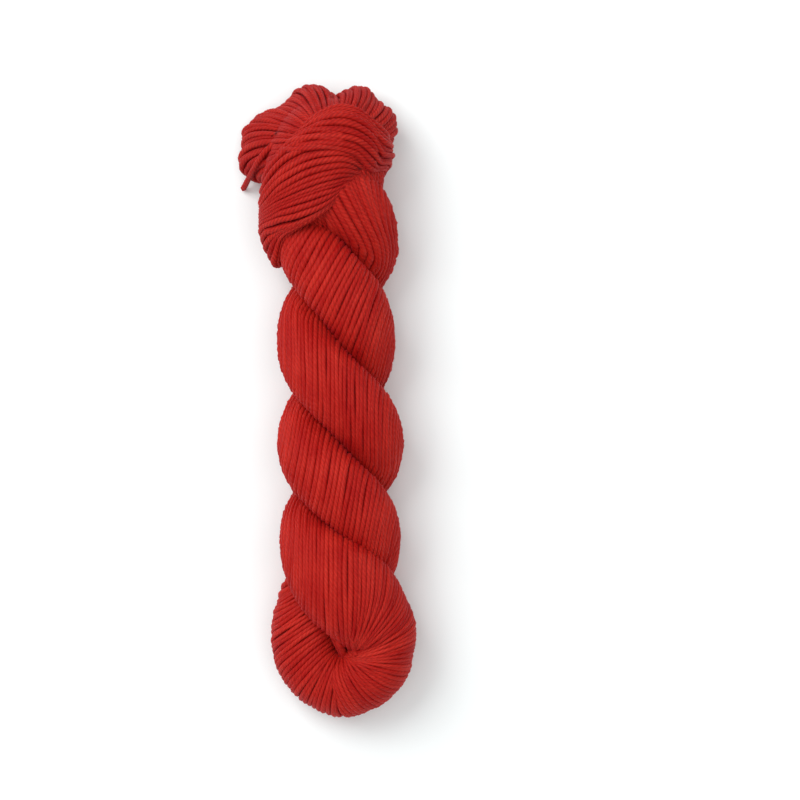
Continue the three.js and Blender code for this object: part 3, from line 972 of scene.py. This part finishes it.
strands = Strands()
for layer in range(2):
    laid = []
    for k in range(CROWN_STRANDS):
        share = (k + 0.5 * layer) / (CROWN_STRANDS - 1)
        at = CROWN_FROM + (CROWN_TO - CROWN_FROM) * share
        over = np.linspace(*CROWN_OVER, CROWN_STEPS)
        degrees = at + CROWN_SWIRL * np.tanh(over - np.pi / 2) + wave(over, *CROWN_WANDER)
        sink = CROWN_UNDER * layer + (k % 2) * CROWN_CROWDED_SINK + wave(over, *CROWN_WAVE)
        sink = sink + random.uniform(*CROWN_SINK_VARIES)
        sink = sink + (k % 2) * ROOT_SINK * (1 - ease(over / ROOT_TAKES))
        sink = sink + LAST_SINK * ease((degrees - LAST_AT) / LAST_TAKES)
        sink = SINK + np.maximum(sink, CROWN_LEAST_SINK)
        line, away = crown_surface(degrees, over, sink)
        laid.append((under_end(over_neck(line, over, sink), YARN_DIAMETER), away))
    add_laid(strands, laid, *CROWN_THICK)
show(strands, "crown_strands")

# ---- the strands that go through the cuff ----

strands = Strands()
for at in np.arange(0, 360, NECK_STEP):
    along = np.linspace(-NECK_REACH, NECK_REACH, NECK_STEPS)
    turned = np.radians(at + wave(along, *NECK_WANDER) + NECK_TWIST * along)
    sink = CUFF_SINK + wave(along, *NECK_WAVE) + NECK_UNDER * ease(along / NECK_UNDER_TAKES)
    thin = np.sqrt(1 - along ** 2)
    line = np.stack([
        CUFF_X + (NECK_HALF_ACROSS * thin - sink) * np.cos(turned),
        NECK_Y + NECK_HALF_LONG * along,
        CUFF_Z + (NECK_HALF_HEIGHT * thin - sink) * np.sin(turned),
    ], axis=-1)
    thick = CUFF_YARN * thin * random.uniform(*CUFF_YARN_VARIES)
    strands.add_shown(line, ways_round(turned), thick)
show(strands, "neck_strands")

# ---- the yarn underneath, coloured much darker than the strands as painted shade ----


def face_ways(places, corners):
    """The way out of each triangle, as long as twice its area."""
    a, b, c = (places[corners[:, k]] for k in range(3))
    return np.cross(b - a, c - a)


places = np.array([v.co for v in hank.data.vertices]) / MM
corners = np.array([tuple(p.vertices) for p in hank.data.polygons])
_, first, same = np.unique(np.round(places, 3), axis=0, return_index=True, return_inverse=True)
places, corners = places[first], same.reshape(-1)[corners]
was = face_ways(places, corners)
ways = np.zeros_like(places)
for k in range(3):
    np.add.at(ways, corners[:, k], was)
places = places - unit(ways) * INNER_SINK
places[:, 2] = np.maximum(places[:, 2], INNER_LEAST_Z)
# not where a fold's two faces come through each other
kept = (unit(was) * unit(face_ways(places, corners))).sum(-1) > INNER_AGREES
deep = np.array([depth(point) for point in places]) > INNER_DEPTH
deep |= (places[:, 2] < 1) | (places[:, 1] > FOLD_Y)
corners = corners[kept & deep[corners].all(axis=1)]
inner = mesh_object("inner_yarn", places * MM, corners, painted_shade_yarn)
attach(inner, "root")
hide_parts("hank")

# ---- the floor and the light ----

floor_material = bpy.data.materials.new("floor")
floor_material.use_nodes = True
floor_shader = floor_material.node_tree.nodes["Principled BSDF"]
floor_shader.inputs["Base Color"].default_value = (0.88, 0.92, 0.92, 1)
floor_shader.inputs["Roughness"].default_value = 0.9
far = 3  # metres to its sides
corners = np.array([(-far, -far, 0), (far, -far, 0), (far, far, 0), (-far, far, 0)], float)
floor = mesh_object("floor", corners, np.array([(0, 1, 2), (0, 2, 3)]), floor_material)


def area_light(name, place, size, power):
    """A square soft light that faces the hank's middle."""
    light = bpy.data.objects.new(name, bpy.data.lights.new(name, "AREA"))
    light.data.size = size
    light.data.energy = power
    light.location = place
    light.rotation_euler = Vector(place).to_track_quat("Z", "Y").to_euler()
    bpy.context.collection.objects.link(light)


area_light("key", (-0.9, 0.8, 1.5), size=1.2, power=24)
area_light("top", (0.3, 0.0, 2.2), size=1.6, power=12)

world = bpy.data.worlds.new("world")
world.use_nodes = True
world.node_tree.nodes["Background"].inputs["Color"].default_value = (1, 1, 1, 1)
world.node_tree.nodes["Background"].inputs["Strength"].default_value = 0.6
bpy.context.scene.world = world
bpy.context.scene.view_settings.view_transform = "Standard"
